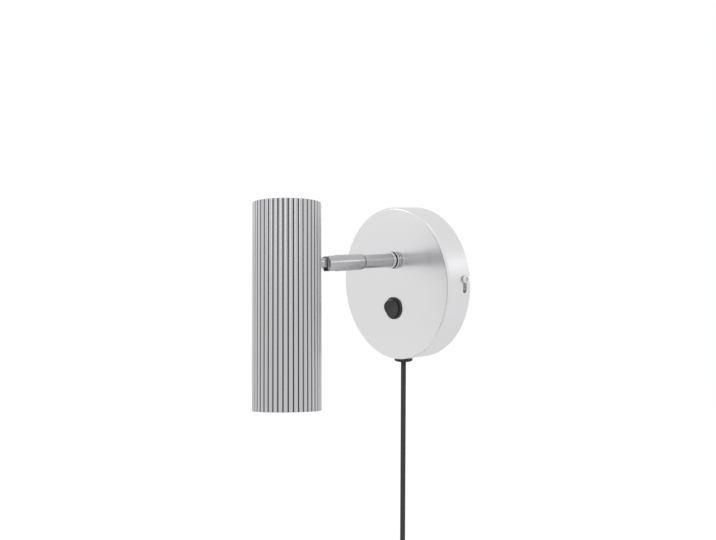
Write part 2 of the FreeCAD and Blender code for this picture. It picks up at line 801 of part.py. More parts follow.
def lamp_body():
    """Reflector lamp: neck, cone and front rim with a seat for the lens."""
    neck = lamp_neck_diameter / 2
    front = lamp_front_diameter / 2
    rim_top = lamp_front + lamp_rim_height
    lens = lens_diameter / 2 + thread_clearance
    seat = lamp_front + lens_recess + lens_thickness + thread_clearance
    profile = [(0, lamp_base), (neck, lamp_base), (neck, lamp_base - lamp_neck_length),
               (front, rim_top), (front, lamp_front), (lens, lamp_front), (lens, seat), (0, seat)]
    return on_head(revolved(profile, V(0, -head_reach, 0), "z"))


def lamp_lens():
    """Round lens in the lamp's front."""
    lens = along_z(lens_diameter / 2, lamp_front + lens_recess,
                   lamp_front + lens_recess + lens_thickness)
    lens = round_edges(lens, 0.4, circle_at("z", lamp_front + lens_recess, lens_diameter / 2))
    lens.translate(V(0, -head_reach, 0))
    return on_head(lens)


def lamp_pins():
    """The lamp's two headed contact pins."""
    pins = []
    for side in (-1, 1):
        shank = along_z(lamp_pin_shank_diameter / 2, lamp_base,
                        lamp_base + lamp_pin_length - lamp_pin_head_length)
        head = along_z(lamp_pin_head_diameter / 2,
                       lamp_base + lamp_pin_length - lamp_pin_head_length,
                       lamp_base + lamp_pin_length)
        pin = shank.fuse(head).removeSplitter()
        pin.translate(V(side * lamp_pin_spacing / 2, -head_reach, 0))
        pins.append(on_head(pin))
    return Part.makeCompound(pins)


def glare_ring():
    """Black stepped ring inside the mouth that hides the lamp's rim."""
    low = shade_bottom + glare_ring_recess
    high = lamp_front - glare_ring_gap
    outer = shade_bore_radius - cap_clearance
    inner = outer - glare_ring_wall
    ring = along_z(outer, low, high).cut(along_z(inner, low - 1, high + 1))
    pitch = (high - low) / glare_step_count
    for k in range(glare_step_count):
        middle = low + (k + 0.5) * pitch
        ring = ring.cut(along_z(inner + glare_step_depth, middle - pitch / 4, middle + pitch / 4))
    ring.translate(V(0, -head_reach, 0))
    return on_head(ring)


def head_leads():
    """The lamp's two leads from the stud's bore to the lampholder."""
    stud_end = -head_reach + shade_radius - stud_length
    leads = []
    for side in (-1, 1):
        x = side * lead_diameter * 0.7
        points = [V(x, stud_end - 0.3, 0), V(x, stud_end - 7, 0),
                  V(x * 2, -head_reach + 3, -10), V(x * 2.5, -head_reach + 1.5, -22),
                  V(x * 2.5, -head_reach + 1.5, holder_top + holder_bracket_thickness + 0.3)]
        leads.append(on_head(wire_along(points, lead_diameter)))
    return Part.makeCompound(leads)


# ---- switch: modelled round the Y axis, then turned and dropped to its place ----

def on_switch(shape):
    """Places a switch piece that was modelled with the switch's axis on the Y axis."""
    made = turned(shape, switch_turn, V(0, 0, 0), V(0, 1, 0))
    made.translate(V(0, 0, -switch_drop))
    return made


rocker_pivot_y = bezel_front + rocker_pivot_depth
rocker_well_radius = rocker_diameter / 2 + rocker_clearance


def switch_body():
    """Black switch housing: bezel, snap-in barrel and the rocker's well."""
    bezel = along_y(bezel_diameter / 2, plate_face, bezel_front)
    bezel = round_edges(bezel, bezel_edge_radius, circle_at("y", bezel_front, bezel_diameter / 2))
    barrel = along_y(switch_barrel_diameter / 2, plate_face, switch_back)
    body = bezel.fuse(barrel).removeSplitter()
    body = body.cut(along_y(rocker_well_radius, bezel_front - 1, bezel_front + rocker_well_depth))
    hole = Part.makeCylinder(axle_diameter / 2 + running_clearance,
                             2 * (rocker_diameter / 2 + axle_length + running_clearance),
                             V(-rocker_diameter / 2 - axle_length - running_clearance,
                               rocker_pivot_y, 0), V(1, 0, 0))
    return on_switch(body.cut(hole))


def switch_rocker():
    """Round rocker: a ball-sided button with two faces that meet in a shallow valley."""
    radius = rocker_diameter / 2
    ball = Part.makeSphere(radius)
    valley = -(rocker_pivot_depth + rocker_rise)
    half = math.radians(rocker_throw / 2)
    reach = radius * 2
    drop = reach * math.tan(half)
    points = [V(0, valley, 0), V(0, valley - drop, reach), V(0, rocker_underside, reach),
              V(0, rocker_underside, -reach), V(0, valley - drop, -reach), V(0, valley, 0)]
    block = Part.Face(Part.makePolygon(points)).extrude(V(2 * reach, 0, 0))
    block.translate(V(-reach, 0, 0))
    rocker = ball.common(block)
    axle = Part.makeCylinder(axle_diameter / 2, 2 * (radius + axle_length - running_clearance),
                             V(-radius - axle_length + running_clearance, 0, 0), V(1, 0, 0))
    rocker = rocker.fuse(axle).removeSplitter()
    rocker.rotate(V(0, 0, 0), V(1, 0, 0), rocker_throw / 2)
    rocker.translate(V(0, rocker_pivot_y, 0))
    return on_switch(rocker)


def switch_terminals():
    """Two flat blades behind the switch."""
    blades = []
    for side in (-1, 1):
        z = side * terminal_spacing / 2
        blade = box(-terminal_width / 2, terminal_width / 2, switch_back,
                    switch_back + terminal_length, z - terminal_thickness / 2,
                    z + terminal_thickness / 2)
        blades.append(on_switch(blade))
    return Part.makeCompound(blades)


# ---- cord entry, terminal block and leads inside the plate ----

def cord_gland():
    """Flanged bush in the rim's underside, saddle-shaped where it meets the rim."""
    flange = along_z(gland_flange_diameter / 2, gland_bottom, -plate_radius + 2, y=-cord_depth)
    flange = round_edges(flange, gland_flange_radius,
                         circle_at("z", gland_bottom, gland_flange_diameter / 2))
    flange = flange.cut(along_y(plate_radius + thread_clearance, 10, -2 * plate_depth))
    body = along_z(gland_body_diameter / 2, gland_bottom + 1, gland_bottom + gland_body_length,
                   y=-cord_depth)
    gland = flange.fuse(body).removeSplitter()
    return gland.cut(along_z(gland_bore / 2, gland_bottom - 1, 0, y=-cord_depth))


def gland_nut():
    """Nut that holds the gland from inside the rim."""
    nut = hex_nut(gland_nut_flats, gland_nut_thickness,
                  gland_body_diameter / 2 + thread_clearance)
    corner = gland_nut_flats / math.sqrt(3)
    seat = -math.sqrt(plate_inner_radius ** 2 - corner ** 2) + thread_clearance
    nut.translate(V(0, -cord_depth, seat))
    return nut


block_front = -strap_thickness - block_depth
lead_y = -strap_thickness - block_depth / 2


def terminal_block():
    """Two-pole connector block on the bracket."""
    block = box(-block_width / 2, block_width / 2, block_front, -strap_thickness,
                -block_height / 2, block_height / 2)
    block = block.makeFillet(1.0, [e for e in block.Edges if abs(e.CenterOfMass.y - block_front) < 1e-3])
    for side in (-1, 1):
        x = side * pole_spacing / 2
        block = block.cut(along_z(insert_diameter / 2, -block_height, block_height, x=x, y=lead_y))
        for end in (-1, 1):
            block = block.cut(along_y(clamp_screw_diameter / 2 + thread_clearance,
                                      block_front - 1, lead_y, x=x,
                                      z=end * clamp_screw_spacing / 2))
    head = block_screw_head_diameter / 2 + hole_clearance
    block = block.cut(along_y(head, block_front - 1, lead_y))
    return block.cut(along_y(block_screw_diameter / 2 + thread_clearance, block_front, 0))


def terminal_inserts():
    """Brass tubes in the block that take the leads."""
    inserts = []
    for side in (-1, 1):
        x = side * pole_spacing / 2
        insert = along_z(insert_diameter / 2 - thread_clearance, -insert_length / 2,
                         insert_length / 2, x=x, y=lead_y)
        insert = insert.cut(along_z(insert_bore / 2, -block_height, block_height, x=x, y=lead_y))
        for end in (-1, 1):
            insert = insert.cut(along_y(clamp_screw_diameter / 2 + thread_clearance, block_front,
                                        lead_y, x=x, z=end * clamp_screw_spacing / 2))
        inserts.append(insert)
    return Part.makeCompound(inserts)


def terminal_screws():
    """Four slotted clamping screws."""
    screws = []
    tip = lead_y - lead_diameter / 2 - thread_clearance
    for side in (-1, 1):
        for end in (-1, 1):
            x = side * pole_spacing / 2
            z = end * clamp_screw_spacing / 2
            screw = along_y(clamp_screw_diameter / 2, tip - clamp_screw_length, tip, x=x, z=z)
            slot = box(x - 0.4, x + 0.4, tip - clamp_screw_length, tip - clamp_screw_length + 0.9,
                       z - clamp_screw_diameter, z + clamp_screw_diameter)
            screws.append(screw.cut(slot))
    return Part.makeCompound(screws)


def block_screw():
    """Screw that fixes the block to the bracket."""
    screw = pan_screw(block_screw_head_diameter, block_screw_head_height,
                      block_screw_diameter, abs(lead_y) - strap_thickness / 2)
    screw.rotate(V(0, 0, 0), V(1, 0, 0), -90)
    screw.translate(V(0, lead_y, 0))
    return screw


sheath_end = V(-sheath_side, lead_y, -sheath_end_drop)


def inner_cord():
    """The sheathed cord from the gland's mouth up beside the switch."""
    exit_point = V(0, -cord_depth, gland_bottom)
    bend = exit_point + V(0, 0, gland_body_length + sheath_entry_run)
    points = [exit_point, bend, sheath_end - V(0, 0, sheath_rise), sheath_end]
    return wire_along(points, cord_diameter)


def supply_leads():
    """The cord's two cores from the sheath's end into the block, one crossing below the other."""
    low = -insert_length / 2 + lead_grip
    cores = []
    for side, drop in ((-1, near_lead_drop), (1, far_lead_drop)):
        start = sheath_end + V(side * lead_pair_offset, 0, 0)
        crossing = -block_height / 2 - drop
        x = side * pole_spacing / 2
        points = [start, V(start.x, lead_y, crossing), V(x, lead_y, crossing), V(x, lead_y, low)]
        cores.append(wire_along(points, lead_diameter))
    return Part.makeCompound(cores)


def switch_leads():
    """Two leads from the switch's blades, behind the switch and up into the block's side."""
    blades = switch_back + terminal_length
    leads = []
    for side in (-1, 1):
        turn = math.radians(switch_turn)
        away = side * terminal_spacing / 2
        start = V(away * math.sin(turn), blades, -switch_drop + away * math.cos(turn))
        behind = start + V(0, switch_lead_run, 0)
        rise_x = block_width / 2 + switch_lead_side - side * switch_lead_gap
        turn_up = V(rise_x - switch_lead_side / 2, behind.y,
                    -switch_lead_turn_drop + side * switch_lead_gap)
        beside = V(rise_x, lead_y, -switch_lead_bend_drop)
        inward = V(rise_x, lead_y, -side * switch_lead_gap)
        end = V(block_width / 2, lead_y, -side * switch_lead_gap)
        leads.append(wire_along([start, behind, turn_up, beside, inward, end], lead_diameter))
    return Part.makeCompound(leads)


def lamp_leads():
    """Two leads from the block up through the nipple and the rod."""
    nipple_end = plate_face + nipple_length
    leads = []
    for side in (-1, 1):
        x = side * pole_spacing / 2
        inside = side * lead_diameter * 0.65
        start = V(x, lead_y, insert_length / 2 - lead_grip)
        above = V(x, lead_y, block_height / 2 + lamp_lead_straight)
        bow = V(x * lamp_lead_spread, lead_y + lamp_lead_bow, arm_height)
        entry = V(inside, nipple_end + lamp_lead_entry, arm_height)
        end = V(inside, rod_end - spigot_length + 1, arm_height)
        leads.append(wire_along([start, above, bow, entry, end], lead_diameter))
    return Part.makeCompound(leads)


# ---- cord ----

def mains_cord():
    """The stretch that hangs straight down from the gland."""
    edges = [Part.LineSegment(V(0, -cord_depth, gland_bottom),
                              V(0, -cord_depth, -cord_hang_end)).toShape()]
    return tube_on(edges, cord_diameter / 2, "mains_cord")


def coil_half_turns():
    """End points of the coil's half turns as (across, depth) pairs, and the side of each."""
    steps = max(layer_half_turns[:3])
    across = coil_inner_radius + steps * turn_pitch / 2
    depth = -cord_depth + 1.5 * layer_pitch
    ends = [(across, depth)]
    sign = 1
    inward = True
    for layer, count in enumerate(layer_half_turns):
        for _ in range(count):
            across += -turn_pitch / 2 if inward else turn_pitch / 2
            sign = -sign
            ends.append((sign * across, depth))
        if layer < len(layer_half_turns) - 1:
            depth -= layer_pitch
            sign = -sign
            ends.append((sign * across, depth))
        inward = not inward
    return ends


def coil_edges():
    """The coil's path: entry bend, then half turns in four layers, then the straight tail."""
    ends = coil_half_turns()
    centre_z = coil_centre.z
    first_across, first_depth = ends[0]
    entry_centre = V(-turn_pitch / 4, first_depth, centre_z)
    entry_radius = first_across + turn_pitch / 4
    angle = math.radians(coil_entry_angle)
    middle = (angle + math.pi / 2) / 2
    join = entry_centre + V(math.sin(angle), 0, math.cos(angle)) * entry_radius
    halfway = entry_centre + V(math.sin(middle), 0, math.cos(middle)) * entry_radius
    way = V(math.cos(angle), 0, -math.sin(angle))
    start = V(0, -cord_depth, -cord_hang_end)
    straight_end = start - V(0, 0, cord_diameter)
    edges = [Part.LineSegment(start, straight_end).toShape()]
    bend, radii = bend_between(straight_end, V(0, 0, -1), join, way)
    edges += bend
    place = V(first_across, first_depth, centre_z)
    edges.append(Part.Arc(join, halfway, place).toShape())
    side = -1
    for across, depth in ends[1:]:
        end = V(across, depth, centre_z)
        middle = (place + end) * 0.5
        top = middle + V(0, 0, side * (end - place).Length / 2)
        edges.append(Part.Arc(place, top, end).toShape())
        radii.append((end - place).Length / 2)
        place = end
        side = -side
    edges.append(Part.LineSegment(place, place - V(0, 0, tail_length)).toShape())
    print("cord_coil radii from %.1f to %.1f" % (min(radii), max(radii)))
    return edges, place


def least_self_gap(edges, diameter):
    """The least gap of a bent tube to itself, from points along its path."""
    points = []
    walked = 0.0
    for edge in edges:
        count = max(int(edge.Length / 2.0), 1)
        for k in range(count):
            points.append((walked + edge.Length * k / count,
                           edge.getPointByLength(edge.Length * k / count)
                           if hasattr(edge, "getPointByLength")
                           else edge.valueAt(edge.getParameterByLength(edge.Length * k / count))))
        walked += edge.Length
    least = 1e9
    for i, (at, point) in enumerate(points):
        for further, other in points[i + 1:]:
            if further - at > 5 * diameter:
                least = min(least, (other - point).Length)
    return least - diameter


def cord_coil():
    """The rest of the cord, wound into a round coil below the hanging stretch."""
    edges, _ = coil_edges()
    print("cord_coil least self gap %.2f" % least_self_gap(edges, cord_diameter))
    return tube_on(edges, cord_diameter / 2, "cord_coil")


def cord_tie():
    """Strap round the coil's turns near the top, with its free end folded over."""
    cord_radius = cord_diameter / 2
    inner_turn = coil_inner_radius
    outer_turn = coil_inner_radius + (layer_half_turns[-1] - 0.5) * turn_pitch / 2
    sag = inner_turn - math.sqrt(inner_turn ** 2 - (tie_width / 2) ** 2)
    low = coil_centre.z + inner_turn - cord_radius - tie_clearance - sag
    high = coil_centre.z + outer_turn + cord_radius + tie_clearance
    deep = 1.5 * layer_pitch + cord_radius + tie_clearance
    half = tie_width / 2
    y = -cord_depth
    outer = box(-half, half, y - deep - tie_wall, y + deep + tie_wall, low - tie_wall,
                high + tie_wall)
    outer = outer.makeFillet(3.0, [e for e in outer.Edges if e.BoundBox.XLength > half])
    inner = box(-half - 1, half + 1, y - deep, y + deep, low, high)
    inner = inner.makeFillet(1.8, [e for e in inner.Edges if e.BoundBox.XLength > half])
    strap = outer.cut(inner)
    end = box(-half, half, y - deep - 2 * tie_wall, y - deep - tie_wall, high - tie_end_length - 3,
              high - 3)
    strap = strap.fuse(end).removeSplitter()
    return turned(strap, -tie_angle, coil_centre, V(0, 1, 0))


def plug_axis():
    """Where the cord's end meets the plug's boot."""
    _, end = coil_edges()
    return end - V(0, 0, tail_length)


def plug_boot():
    """Tapered, grooved strain relief on the plug."""
    top = plug_axis()
    boot = Part.makeCone(boot_large_diameter / 2, boot_small_diameter / 2, boot_length,
                         top - V(0, 0, boot_length))
    for k in range(boot_groove_count):
        share = (k + 1.0) / (boot_groove_count + 1)
        radius = boot_large_diameter / 2 + share * (boot_small_diameter - boot_large_diameter) / 2
        low = top.z - boot_length * (1 - share)
        ring = along_z(boot_large_diameter, low, low + boot_groove_width, x=top.x, y=top.y)
        ring = ring.cut(along_z(radius - boot_groove_depth, low, low + boot_groove_width,
                                x=top.x, y=top.y))
        boot = boot.cut(ring)
    return boot


def plug_body():
    """Flat two-pin plug body, wide at its pin face."""
    top = plug_axis() - V(0, 0, boot_length)
    half = plug_width / 2
    shoulder = plug_shoulder_width / 2
    outline = [(-shoulder, 0), (shoulder, 0), (half, -plug_length * 0.45), (half, -plug_length),
               (-half, -plug_length), (-half, -plug_length * 0.45), (-shoulder, 0)]
    points = [top + V(x, -plug_thickness / 2, z) for x, z in outline]
    body = Part.Face(Part.makePolygon(points)).extrude(V(0, plug_thickness, 0))
    bottom = top.z - plug_length
    edges = [e for e in body.Edges if abs(e.CenterOfMass.z - bottom) > 1e-3]
    return body.makeFillet(plug_edge_radius, edges)


def plug_pins():
    """Two round pins with rounded tips."""
    face = plug_axis() - V(0, 0, boot_length + plug_length)
    pins = []
    for side in (-1, 1):
        base = face + V(side * plug_pin_spacing / 2, 0, -plug_pin_length)
        pin = Part.makeCylinder(plug_pin_diameter / 2, plug_pin_length, base)
        pin = round_edges(pin, plug_pin_diameter / 4,
                          circle_at("z", base.z, plug_pin_diameter / 2))
        pins.append(pin)
    return Part.makeCompound(pins)


SUBPARTS = [
    wall_bracket, wall_plate, side_screws,
    arm_collar, arm_rod, arm_backing_plate, arm_lock_washer, arm_nut, barrel_circlip,
    turn_stop_pin, joint_barrel, pivot_pins, friction_washers, knuckle,
    shade_tube, top_cap, holder_bracket, stud_nut, lampholder, holder_screws,
    lamp_body, lamp_lens, lamp_pins, glare_ring, head_leads,
    switch_body, switch_rocker, switch_terminals,
    cord_gland, gland_nut, terminal_block, terminal_inserts, terminal_screws, block_screw,
    inner_cord, supply_leads, switch_leads, lamp_leads,
    mains_cord, cord_coil, cord_tie, plug_boot, plug_body, plug_pins,
]

for make in SUBPARTS:
    shape = make()
    shape.exportStep("parts/%s.step" % make.__name__)
    if not shape.isValid():
        print("not valid:", make.__name__)
print("sub-parts:", len(SUBPARTS))
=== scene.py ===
# %% [markdown]
# # A tube wall light, dressed for its portrait
# A ribbed aluminium tube hangs on a jointed arm in front of a round brushed plate, with a black
# rocker switch and a textile cord. The exact solids come from the frame. This lesson gives each
# of them its finish, and adds what solids can't show: a braid, a lens, a soft strap.

import bpy
import numpy as np
from mathutils import Matrix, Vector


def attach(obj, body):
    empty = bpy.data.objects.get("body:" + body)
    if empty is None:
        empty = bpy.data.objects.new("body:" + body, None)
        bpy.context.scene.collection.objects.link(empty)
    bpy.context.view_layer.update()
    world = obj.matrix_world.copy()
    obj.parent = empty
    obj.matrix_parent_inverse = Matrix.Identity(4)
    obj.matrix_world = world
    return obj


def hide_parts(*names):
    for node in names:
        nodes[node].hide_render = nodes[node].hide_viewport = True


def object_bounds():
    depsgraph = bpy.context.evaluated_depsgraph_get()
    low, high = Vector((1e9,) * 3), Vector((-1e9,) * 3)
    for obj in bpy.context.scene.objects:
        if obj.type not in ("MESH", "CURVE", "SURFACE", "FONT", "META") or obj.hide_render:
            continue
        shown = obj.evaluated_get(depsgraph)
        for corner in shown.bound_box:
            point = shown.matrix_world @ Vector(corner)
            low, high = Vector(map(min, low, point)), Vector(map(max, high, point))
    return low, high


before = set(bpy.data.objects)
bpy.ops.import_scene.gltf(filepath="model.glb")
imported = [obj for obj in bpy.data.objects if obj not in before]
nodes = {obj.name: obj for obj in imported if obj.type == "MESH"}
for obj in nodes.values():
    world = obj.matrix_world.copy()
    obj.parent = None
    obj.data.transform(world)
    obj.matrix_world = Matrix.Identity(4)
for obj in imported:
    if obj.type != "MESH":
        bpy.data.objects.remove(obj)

cad_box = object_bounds()


# %% [markdown]
# ## Values as expressions
# A finish is a small sum: a base value, plus scratches, plus a little grain. Node trees can say
# this, but wiring each Math node by hand hides the sum. Here one small class wraps a socket, so
# that `0.3 + 0.1 * grain` adds its own nodes.

# %% The value class
class Value:
    """A number, colour or vector socket in a material, used like a number in Python."""

    def __init__(self, tree, socket):
        self.tree = tree
        self.socket = socket

    def node(self, kind, inputs, output=0, **settings):
        """Adds any node: its settings first, then the values or links of its sockets."""
        made = self.tree.nodes.new(kind)
        for name, setting in settings.items():
            setattr(made, name, setting)
        for name, given in inputs.items():
            if isinstance(given, Value):
                self.tree.links.new(given.socket, made.inputs[name])
            else:
                made.inputs[name].default_value = given
        return Value(self.tree, made.outputs[output])

    def maths(self, operation, *others):
        inputs = {k: v for k, v in enumerate((self,) + others)}
        return self.node("ShaderNodeMath", inputs, operation=operation)

    def __add__(self, other):
        return self.maths("ADD", other)

    __radd__ = __add__

    def __mul__(self, other):
        return self.maths("MULTIPLY", other)

    __rmul__ = __mul__

    def __sub__(self, other):
        return self.maths("SUBTRACT", other)

    def __rsub__(self, other):
        return (self * -1.0) + other

    def __pow__(self, other):
        return self.maths("POWER", other)

    def along(self, direction):
        """How far a vector reaches along a direction."""
        inputs = {0: self, 1: direction}
        return self.node("ShaderNodeVectorMath", inputs, output=1, operation="DOT_PRODUCT")

    def shifted(self, offset):
        """A vector moved by minus an offset."""
        return self.node("ShaderNodeVectorMath", {0: self, 1: offset}, operation="SUBTRACT")

    def mask(self, low, high):
        """0 below low, 1 above high, and smooth between."""
        inputs = {"Value": self, "From Min": low, "From Max": high}
        return self.node("ShaderNodeMapRange", inputs, interpolation_type="SMOOTHSTEP")

    def between(self, first, second):
        """A colour mixed from two colours by this mask."""
        inputs = {0: self, 6: first, 7: second}
        return self.node("ShaderNodeMix", inputs, output=2, data_type="RGBA")


def combine(x, y, z):
    """A vector from three numbers or values."""
    source = next(v for v in (x, y, z) if isinstance(v, Value))
    return source.node("ShaderNodeCombineXYZ", {"X": x, "Y": y, "Z": z})


# %% [markdown]
# ## A finish
# Each finish is one Principled shader. Sizes that stay the same all over are set on the shader
# itself. Only colour, roughness and the surface's small relief vary.

# %% The finish helper
class Finish:
    """A material with its shader, its place on the object, and a way to plug values in."""

    def __init__(self, name, **constants):
        self.material = bpy.data.materials.new(name)
        self.material.use_nodes = True
        self.tree = self.material.node_tree
        self.shader = self.tree.nodes["Principled BSDF"]
        for socket, constant in constants.items():
            self.shader.inputs[socket.replace("_", " ")].default_value = constant
        place = self.tree.nodes.new("ShaderNodeTexCoord")
        self.place = Value(self.tree, place.outputs["Object"])
        self.uv = Value(self.tree, place.outputs["UV"])

    def plug(self, socket, value):
        self.tree.links.new(value.socket, self.shader.inputs[socket])

    def relief(self, height, distance, strength=1.0):
        """A bump from a height value; distance is in metres."""
        inputs = {"Height": height, "Distance": distance, "Strength": strength}
        self.plug("Normal", height.node("ShaderNodeBump", inputs))

    def noise(self, vector, scale, detail=3.0, roughness=0.5):
        inputs = {"Vector": vector, "Scale": scale, "Detail": detail, "Roughness": roughness}
        return vector.node("ShaderNodeTexNoise", inputs)

    def lines(self, distance, per_metre, detail=3.0):
        """Fine parallel lines: noise that varies with one distance only."""
        inputs = {"W": distance * per_metre, "Scale": 1.0, "Detail": detail}
        return distance.node("ShaderNodeTexNoise", inputs, noise_dimensions="1D")


def dress(finish, *names):
    """Gives CAD nodes a finish."""
    for name in names:
        mesh = nodes[name].data
        mesh.materials.clear()
        mesh.materials.append(finish.material)


# %% [markdown]
# ## Camera
# The photograph was taken with a short telephoto lens, from the right of the plate and a little
# above its centre. The edges of the plate and the tube's two ends fix where it stood.

# %% Camera
MM = 0.001
camera_place = np.array([695.99, -676.78, 81.21]) * MM
camera_ahead = np.array([-0.753646, 0.653365, -0.071632])
camera_right = np.array([0.654951, 0.755669, 0.001764])
camera_up = np.cross(camera_right, camera_ahead)
camera_data = bpy.data.cameras.new("camera")
camera_data.lens = 50.28
camera_data.sensor_width = 36.0
camera_data.clip_end = 50.0
camera = bpy.data.objects.new("camera", camera_data)
turn = np.column_stack([camera_right, camera_up, -camera_ahead])
camera.matrix_world = Matrix.Translation(camera_place) @ Matrix(turn.tolist()).to_4x4()
bpy.context.scene.collection.objects.link(camera)
bpy.context.scene.camera = camera
print("camera stands", round(float(np.linalg.norm(camera_place)), 3), "m from the plate")


# %% [markdown]
# ## Studio
# The room is white, as in the photograph. The camera sees it plain white, and so do metal and
# glass, which show what stands round them. Matt surfaces get a lower, level light from it.

# %% World
def background_seen(tree):
    """1 for the rays that show the background: from the camera, in metal, and through glass."""
    paths = tree.nodes.new("ShaderNodeLightPath")
    rays = [Value(tree, paths.outputs[name])
            for name in ("Is Camera Ray", "Is Glossy Ray", "Is Transmission Ray")]
    return rays[0].maths("MAXIMUM", rays[1]).maths("MAXIMUM", rays[2])


ROOM_LIGHT = 0.55
scene = bpy.context.scene
scene.view_settings.view_transform = "Standard"
world = bpy.data.worlds.new("studio")
world.use_nodes = True
scene.world = world
sky_tree = world.node_tree
sky = sky_tree.nodes["Background"]
shown = background_seen(sky_tree)
tone = ROOM_LIGHT + shown * (1.0 - ROOM_LIGHT)
sky_tree.links.new(tone.socket, sky.inputs["Strength"])
sky.inputs["Color"].default_value = (1, 1, 1, 1)


# %% Lamps
LAMP_TARGET = (0, -0.1, 0)


def softbox(name, place, width, height, power):
    """A large soft lamp that looks at the object; metres and watts."""
    data = bpy.data.lights.new(name, "AREA")
    data.shape = "RECTANGLE"
    data.size = width
    data.size_y = height
    data.energy = power
    lamp = bpy.data.objects.new(name, data)
    ahead = np.array(LAMP_TARGET) - np.array(place)
    ahead = ahead / np.linalg.norm(ahead)
    side = np.cross(ahead, (0, 0, 1))
    side = side / np.linalg.norm(side)
    axes = np.column_stack([side, np.cross(side, ahead), -ahead])
    lamp.matrix_world = Matrix.Translation(place) @ Matrix(axes.tolist()).to_4x4()
    scene.collection.objects.link(lamp)


softbox("key_lamp", (-1.35, -1.20, 0.75), 0.5, 1.2, 1.6)
softbox("right_lamp", (1.25, 1.28, 0.65), 0.50, 0.36, 0.9)
softbox("front_lamp", (1.25, -1.45, 0.68), 0.50, 0.30, 0.9)
softbox("top_lamp", (0.3, -0.5, 1.7), 0.7, 0.7, 1.6)


# %% [markdown]
# ## Floor
# A plain pale floor catches the lamps' soft shadow. Part of its white is a glow that only shows
# where the background does, so that it meets the white room with no edge and lights nothing.

# %% Floor
def grid_piece(name, points, around=False, uv=None):
    """A surface through a grid of points (rows x columns), as one mesh of quads."""
    rows, columns = points.shape[:2]
    index = np.arange(rows * columns).reshape(rows, columns)
    if around:
        index = np.hstack([index, index[:, :1]])
    a, b = index[:-1, :-1], index[:-1, 1:]
    c, d = index[1:, 1:], index[1:, :-1]
    faces = np.stack([a, b, c, d], axis=-1).reshape(-1, 4)
    mesh = bpy.data.meshes.new(name)
    mesh.from_pydata(points.reshape(-1, 3).tolist(), [], faces.tolist())
    if uv is not None:
        corners = np.stack([uv[:-1, :-1], uv[:-1, 1:], uv[1:, 1:], uv[1:, :-1]], axis=2)
        layer = mesh.uv_layers.new(name="UVMap")
        layer.data.foreach_set("uv", corners.reshape(-1).astype(np.float32))
    mesh.polygons.foreach_set("use_smooth", np.ones(len(mesh.polygons), bool))
    mesh.update()
    piece = bpy.data.objects.new(name, mesh)
    scene.collection.objects.link(piece)
    return piece


FLOOR_GAP = 12 * MM
FLOOR_REACH = 1.6
FLOOR_GLOW = 0.78
floor_level = cad_box[0][2] - FLOOR_GAP
corner = np.array([-FLOOR_REACH, FLOOR_REACH])
floor_grid = np.array([[(x, y, floor_level) for x in corner] for y in corner])
floor = grid_piece("floor", floor_grid)
floor_finish = Finish("pale_floor", Roughness=0.9)
grain = floor_finish.noise(floor_finish.place, 40.0)
floor_finish.plug("Base Color", grain.between((0.40, 0.40, 0.40, 1), (0.44, 0.44, 0.44, 1)))
floor_seen = background_seen(floor_finish.tree)
floor_finish.shader.inputs["Emission Strength"].default_value = FLOOR_GLOW
floor_glow = floor_seen.between((0, 0, 0, 1), (1, 1, 1, 1))
floor_finish.plug("Emission Color", floor_glow)
floor.data.materials.append(floor_finish.material)
print("floor at", round(floor_level, 3))


# %% [markdown]
# ## Where the head points
# The tube is tilted, so its grain can't follow the room's axes. Three directions carried by the
# head let every pattern on it run true: across, away from the wall, and up the tube.

# %% Head axes
HEAD_TURN = np.radians(-7.2)
HEAD_TILT = np.radians(-5.6)
pivot = np.array([0.0, -104.0, 22.5]) * MM
about_x = np.array([[1, 0, 0],
                    [0, np.cos(HEAD_TILT), -np.sin(HEAD_TILT)],
                    [0, np.sin(HEAD_TILT), np.cos(HEAD_TILT)]])
about_y = np.array([[np.cos(HEAD_TURN), 0, np.sin(HEAD_TURN)],
                    [0, 1, 0],
                    [-np.sin(HEAD_TURN), 0, np.cos(HEAD_TURN)]])
head_turn = about_y @ about_x
head_x, head_y, head_z = (tuple(head_turn[:, k]) for k in range(3))
tube_axis_y = -51.0 * MM
print("the tube's axis points along", np.round(head_turn[:, 2], 3))


def head_place(finish):
    """Object coordinates turned into the head's own axes, with the tube's axis at the origin."""
    from_pivot = finish.place.shifted(tuple(pivot))
    x = from_pivot.along(head_x)
    y = from_pivot.along(head_y) - tube_axis_y
    z = from_pivot.along(head_z)
    return x, y, z


# %% [markdown]
# ## Ribbed aluminium
# The tube is drawn aluminium: the die leaves faint lines lengthways, and the ribs are brushed the
# same way. Long stretched noise, coarse along the tube and fine across it, gives both. The grooves
# are painted dark, as painted shade between the ribs. They are also rougher than the crests.

# %% Shade finish
GROOVE_FLOOR = 29.05 * MM
CREST_FLANK = 29.8 * MM
BORE_WALL = (27.5 * MM, 28.3 * MM)
shade = Finish("ribbed_aluminium", Metallic=1.0)
sx, sy, sz = head_place(shade)
radius = (sx * sx + sy * sy) ** 0.5
crest = radius.mask(GROOVE_FLOOR, CREST_FLANK)
inside = 1.0 - radius.mask(*BORE_WALL)
drawn = shade.noise(combine(sx, sy, sz * 0.003), 2600.0, detail=4.0)
cloud = shade.noise(combine(sx, sy, sz * 0.3), 60.0, detail=2.0)
# The grooves' near-black tone is painted shade between the ribs.
painted_groove_shade_tone = crest.between((0.07, 0.07, 0.07, 1), (0.52, 0.52, 0.53, 1))
shade.plug("Base Color", inside.between(painted_groove_shade_tone, (0.55, 0.55, 0.56, 1)))
shade.plug("Roughness", 0.36 - 0.13 * crest + 0.05 * (drawn - 0.5) + 0.05 * (cloud - 0.5))
shade.relief(drawn, 0.00002, 0.05)
dress(shade, "shade_tube")

